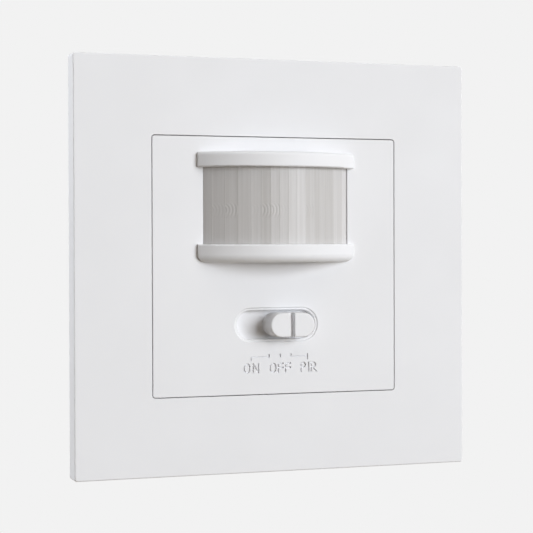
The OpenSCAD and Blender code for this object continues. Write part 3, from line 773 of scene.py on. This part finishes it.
def block(left: float, right: float, foot: float, top: float) -> Strip:
    """Draws an upright rectangle.

    Args:
        left: X of its left side.
        right: X of its right side.
        foot: Height of its foot.
        top: Height of its top.

    Returns:
        The pairs of points at its two sides.
    """
    return [((left, foot), (left, top)), ((right, foot), (right, top))]


def ring(
    centre: tuple[float, float], reach: tuple[float, float], stroke: float, first: float, last: float
) -> Strip:
    """Draws a bent stroke, part or all of an oval ring.

    Args:
        centre: The oval's middle.
        reach: Its outer half width and half height.
        stroke: The width of the stroke.
        first: The angle at which it starts, in degrees.
        last: The angle at which it ends.

    Returns:
        The pairs of outer and inner points along it.
    """
    steps = round(abs(last - first) / STROKE_STEP)
    pairs: Strip = []
    for i in range(steps + 1):
        turn = math.radians(first + (last - first) * i / steps)
        outer, inner = (
            (centre[0] + (reach[0] - off) * math.cos(turn), centre[1] + (reach[1] - off) * math.sin(turn))
            for off in (0.0, stroke)
        )
        pairs.append((outer, inner))
    return pairs


@dataclass(frozen=True)
class Lettering:
    """Raised capitals and bars of even thin strokes, as a mould leaves them.

    They are drawn in millimetres, with X to the right, Y up and Z out of the face that they stand on.
    """

    rise: float = 0.15
    sink: float = 0.1
    cap_h: float = 1.5
    stroke: float = 0.25
    narrow_w: float = 0.9
    wide_w: float = 1.2
    gap: float = 0.35

    def glyph(self, letter: str) -> list[Strip]:
        """Draws one capital from its left foot.

        Args:
            letter: The capital.

        Returns:
            Its strokes.
        """
        s, h, w, v = self.stroke, self.cap_h, self.narrow_w, self.wide_w
        stem = block(0.0, s, 0.0, h)
        far_stem = block(v - s, v, 0.0, h)
        foot = block(s, w, 0.0, s)
        top = block(s, w, h - s, h)
        cup = v / 2
        letters: dict[str, list[Strip]] = {
            "I": [stem],
            "L": [stem, foot],
            "E": [stem, foot, block(s, w, (h - s) / 2, (h + s) / 2), top],
            "T": [block(0.0, v, h - s, h), block((v - s) / 2, (v + s) / 2, 0.0, h - s)],
            "N": [stem, [((s, h - 2 * s), (s, h)), ((v - s, 0.0), (v - s, 2 * s))], far_stem],
            "M": [
                stem,
                [((s, h - 2 * s), (s, h)), ((cup, 0.0), (cup, 2 * s))],
                [((cup, 0.0), (cup, 2 * s)), ((v - s, h - 2 * s), (v - s, h))],
                far_stem,
            ],
            "U": [
                block(0.0, s, cup, h),
                ring((cup, cup), (cup, cup), s, 180.0, 360.0),
                block(v - s, v, cup, h),
            ],
            "X": [
                [((0.0, 0.0), (s, 0.0)), ((v - s, h), (v, h))],
                [((0.0, h), (s, h)), ((cup - s / 2, h / 2), (cup, h / 2 + s))],
                [((v - s, 0.0), (v, 0.0)), ((cup, h / 2 - s), (cup + s / 2, h / 2))],
            ],
        }
        return letters[letter]

    def write(self, shape: bmesh.types.BMesh, text: str, middle: float, foot: float) -> None:
        """Raises one word.

        Args:
            shape: The shape that takes it.
            text: The word.
            middle: X of its middle.
            foot: Y of its foot.
        """
        glyphs = [self.glyph(letter) for letter in text]
        widths = [max(x for strip in glyph for pair in strip for x, _ in pair) for glyph in glyphs]
        left = middle - (sum(widths) + self.gap * (len(text) - 1)) / 2
        for glyph, width in zip(glyphs, widths):
            for strip in glyph:
                self.raise_strip(shape, strip, left, foot)
            left += width + self.gap

    def raise_strip(self, shape: bmesh.types.BMesh, strip: Strip, left: float, foot: float) -> None:
        """Raises one stroke.

        Args:
            shape: The shape that takes it.
            strip: The stroke.
            left: X of the place where its drawing starts.
            foot: Y of that place.
        """
        sides = [[shape.verts.new((left + x, foot + y, self.rise)) for x, y in pair] for pair in strip]
        faces = [shape.faces.new((a[0], b[0], b[1], a[1])) for a, b in zip(sides, sides[1:])]
        grown = bmesh.ops.extrude_face_region(shape, geom=faces, use_keep_orig=True)["geom"]
        back = [v for v in grown if isinstance(v, bmesh.types.BMVert)]
        bmesh.ops.translate(shape, vec=(0, 0, -self.rise - self.sink), verts=back)
        bmesh.ops.recalc_face_normals(shape, faces=shape.faces)


DIAL_LETTERS = Lettering()
WIRE_LETTERS = Lettering(cap_h=2.0, stroke=0.3, wide_w=1.5, narrow_w=1.2)


def stand_on(shape: bmesh.types.BMesh, at: Point, right: Vector, up: Vector) -> None:
    """Sets a drawing on its face, and turns it to metres.

    Args:
        shape: The drawing, in millimetres.
        at: The place of its origin on the face.
        right: The direction that its X takes.
        up: The direction that its Y takes.
    """
    turn = Matrix((right, up, right.cross(up))).transposed().to_4x4()
    whole = Matrix.Scale(MM, 4) @ Matrix.Translation(at) @ turn
    bmesh.ops.transform(shape, matrix=whole, verts=shape.verts)


@dataclass
class DialScale:
    """The scale and the word beside one dial, raised from the deck behind the centre plate.

    Sizes are in millimetres, and the swing to each side is in degrees.
    """

    node: str
    word: str
    letters: Lettering = DIAL_LETTERS
    inner_r: float = 3.3
    tick_l: float = 0.6
    end_l: float = 1.0
    ticks: int = 7
    swing: float = 135.0
    word_drop: float = 5.9

    def build(self, finishes: Finishes) -> bpy.types.Object:
        """Builds the scale.

        Args:
            finishes: Where its finish comes from.

        Returns:
            The piece.
        """
        low, high = (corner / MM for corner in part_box(self.node))
        middle = (low + high) / 2
        deck_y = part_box("support_frame")[0].y / MM
        shape = bmesh.new()
        half = self.letters.stroke / 2
        last = self.ticks - 1
        for i in range(self.ticks):
            part = i / last
            length = self.end_l if i in (0, last) else self.tick_l
            tick = block(-half, half, self.inner_r, self.inner_r + length)
            before = set(shape.verts)
            self.letters.raise_strip(shape, tick, 0.0, 0.0)
            fresh = [v for v in shape.verts if v not in before]
            turn = Matrix.Rotation(math.radians(self.swing * (1 - 2 * part)), 3, "Z")
            bmesh.ops.rotate(shape, matrix=turn, verts=fresh)
        self.letters.write(shape, self.word, 0.0, -self.word_drop)
        stand_on(shape, (middle.x, deck_y, middle.z), Vector((1, 0, 0)), Vector((0, 0, 1)))
        return make_piece(self.node + "_scale", shape, Body.BASE, Slot.HOUSING, finishes)


@dataclass
class WireMarks:
    """The marks at the wire entries, raised from the underside of the rear housing.

    Sizes are in millimetres.
    """

    letters: Lettering = WIRE_LETTERS
    pitch: float = 8.0
    foot_y: float = 19.4
    arrow_w: float = 1.6

    def build(self, finishes: Finishes) -> bpy.types.Object:
        """Builds the marks: live in, neutral, and an arrow for the wire to the lamp.

        Args:
            finishes: Where their finish comes from.

        Returns:
            The piece.
        """
        under_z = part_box("rear_housing")[0].z / MM
        shape = bmesh.new()
        self.letters.write(shape, "L", -self.pitch, 0.0)
        self.letters.write(shape, "N", 0.0, 0.0)
        s, h, half = self.letters.stroke, self.letters.cap_h, self.arrow_w / 2
        shaft = block(-s / 2, s / 2, 0.0, h - half)
        head: Strip = [((-half, h - half), (-half + s, h - half)), ((0.0, h), (0.0, h - s))]
        far: Strip = [((0.0, h), (0.0, h - s)), ((half, h - half), (half - s, h - half))]
        for strip in (shaft, head, far):
            self.letters.raise_strip(shape, strip, self.pitch, 0.0)
        stand_on(shape, (0.0, self.foot_y, under_z), Vector((1, 0, 0)), Vector((0, -1, 0)))
        return make_piece("wire_marks", shape, Body.BASE, Slot.HOUSING, finishes)


@dataclass(frozen=True)
class Lamp:
    """A soft lamp that faces the switch, with its place and size in metres and its power in watts."""

    name: str
    at: Point
    size: tuple[float, float]
    power: float
    tone: str

    def hang(self) -> None:
        """Hangs the lamp in its place."""
        data = bpy.data.lights.new(self.name, "AREA")
        data.shape = "RECTANGLE"
        data.size, data.size_y = self.size
        data.energy = self.power
        data.color = linear(self.tone)[:3]
        aim = Vector(self.at).to_track_quat("Z", "Y").to_matrix().to_4x4()
        put(self.name, data).matrix_world = Matrix.Translation(self.at) @ aim


COOL_WHITE = "#F6FAFF"
WARM_WHITE = "#FFF3E2"
LAMPS = (
    # The main light: a large soft box in front, to the right of the camera
    Lamp("key", (1.4, -2.19, 0.6), (2.0, 1.7), 76.6, COOL_WHITE),
    # A weak warm light from above
    Lamp("top", (0.15, -0.66, 1.42), (1.2, 1.1), 4.8, WARM_WHITE),
    # A small lamp for the left side of the frame
    Lamp("side", (-0.42, 0.15, 0.24), (0.3, 0.3), 2.3, COOL_WHITE),
    # A soft light for the back
    Lamp("rear", (0.46, 0.86, 0.45), (1.1, 1.1), 4.0, COOL_WHITE),
)


@dataclass
class Studio:
    """Camera, lamps, background and floor, with places and sizes in metres and angles in degrees.

    The floor shows shadow_share of a shadow up to shadow_near from the switch, and none beyond shadow_far.
    """

    camera_at: Point = (-0.10429, -0.29449, 0.00386)
    yaw: float = 19.404
    tilt: float = -0.739
    roll: float = 0.176
    lens_mm: float = 107.31
    sensor_mm: float = 36.0
    near_clip: float = 0.01
    backdrop: str = "#F2F2F2"
    ambient: str = "#26211A"
    bounce: str = "#91826A"
    floor_z: float = -0.28
    floor_r: float = 6.0
    floor_sides: int = 96
    shadow_near: float = 0.1
    shadow_far: float = 0.45
    shadow_share: float = 0.4

    def camera(self) -> None:
        """Sets the camera at the photograph's place and angle."""
        yaw, tilt, roll = (math.radians(a) for a in (self.yaw, self.tilt, self.roll))
        ahead = Vector((math.sin(yaw), math.cos(yaw), 0.0))
        side = Vector((math.cos(yaw), -math.sin(yaw), 0.0))
        top = Vector((0.0, 0.0, 1.0))
        forward = math.cos(tilt) * ahead + math.sin(tilt) * top
        level_up = math.cos(tilt) * top - math.sin(tilt) * ahead
        right = math.cos(roll) * side - math.sin(roll) * level_up
        up = math.sin(roll) * side + math.cos(roll) * level_up
        data = bpy.data.cameras.new("camera")
        data.lens = self.lens_mm
        data.sensor_width = self.sensor_mm
        data.sensor_fit = "HORIZONTAL"
        data.clip_start = self.near_clip
        turn = Matrix((right, up, -forward)).transposed().to_4x4()
        holder = put("camera", data)
        holder.matrix_world = Matrix.Translation(self.camera_at) @ turn
        bpy.context.scene.camera = holder

    def background(self) -> None:
        """Shows a plain pale backdrop, and lights the switch faintly from all round."""
        world = bpy.data.worlds.new("studio")
        bpy.context.scene.world = world
        tree = clear_tree(world)
        shown, fill = (
            add_node(tree, "ShaderNodeBackground", values={"Color": linear(tone), "Strength": 1.0})
            for tone in (self.backdrop, self.ambient)
        )
        mixed = add_node(
            tree,
            "ShaderNodeMixShader",
            links={0: self.seen(tree), 1: fill.outputs[0], 2: shown.outputs[0]},
        )
        add_node(tree, "ShaderNodeOutputWorld", links={"Surface": mixed.outputs[0]})

    def seen(self, tree: bpy.types.NodeTree) -> bpy.types.NodeSocket:
        """Tells the rays that show the backdrop from those that light the switch.

        Args:
            tree: The node tree that asks.

        Returns:
            1 for camera, mirror and see-through rays, and otherwise 0.
        """
        path = add_node(tree, "ShaderNodeLightPath")
        either = add_node(
            tree,
            "ShaderNodeMath",
            {"operation": "MAXIMUM"},
            links={0: path.outputs["Is Camera Ray"], 1: path.outputs["Is Glossy Ray"]},
        )
        any_ray = add_node(
            tree,
            "ShaderNodeMath",
            {"operation": "MAXIMUM"},
            links={0: either.outputs[0], 1: path.outputs["Is Transmission Ray"]},
        )
        return any_ray.outputs[0]

    def floor(self) -> None:
        """Lays the pale floor, which keeps the soft shadow near the switch."""
        shape = bmesh.new()
        bmesh.ops.create_circle(shape, cap_ends=True, segments=self.floor_sides, radius=self.floor_r)
        bmesh.ops.translate(shape, vec=(0, 0, self.floor_z), verts=shape.verts)
        holder = put_mesh("floor", shape, self.floor_finish())

    def floor_finish(self) -> bpy.types.Material:
        """Makes the floor's paint: the backdrop's colour, and matt paint near the switch.

        Returns:
            The material.
        """
        material = bpy.data.materials.new("matt_floor_paint")
        tree = clear_tree(material)
        place = add_node(tree, "ShaderNodeTexCoord")
        reach = add_node(
            tree, "ShaderNodeVectorMath", {"operation": "LENGTH"}, links={0: place.outputs["Object"]}
        )
        near = add_node(
            tree,
            "ShaderNodeMapRange",
            {"interpolation_type": "SMOOTHSTEP"},
            {
                "From Min": self.shadow_near,
                "From Max": self.shadow_far,
                "To Min": self.shadow_share,
                "To Max": 0.0,
            },
            {"Value": reach.outputs["Value"]},
        )
        white = linear(self.backdrop)
        paint = add_node(tree, "ShaderNodeBsdfDiffuse", values={"Color": white})
        glow = add_node(tree, "ShaderNodeEmission", values={"Color": white, "Strength": 1.0})
        shown = add_node(
            tree,
            "ShaderNodeMixShader",
            links={0: near.outputs["Result"], 1: glow.outputs[0], 2: paint.outputs[0]},
        )
        bounce = add_node(tree, "ShaderNodeBsdfDiffuse", values={"Color": linear(self.bounce)})
        mixed = add_node(
            tree,
            "ShaderNodeMixShader",
            links={0: self.seen(tree), 1: bounce.outputs[0], 2: shown.outputs[0]},
        )
        add_node(tree, "ShaderNodeOutputMaterial", links={"Surface": mixed.outputs[0]})
        return material

    def build(self) -> None:
        """Builds the studio."""
        bpy.context.scene.view_settings.view_transform = "Standard"
        self.camera()
        self.background()
        self.floor()
        for lamp in LAMPS:
            lamp.hang()


def main() -> None:
    """Builds the studio and every sub-assembly in order."""
    logging.basicConfig(level=logging.INFO, format="%(message)s")
    Studio().build()
    finishes = Finishes()
    finishes.dress_nodes()
    MotionLens().build(finishes)
    DialScale("lux_dial", "LUX").build(finishes)
    DialScale("time_dial", "TIME").build(finishes)
    WireMarks().build(finishes)


if __name__ == "__main__":
    main()
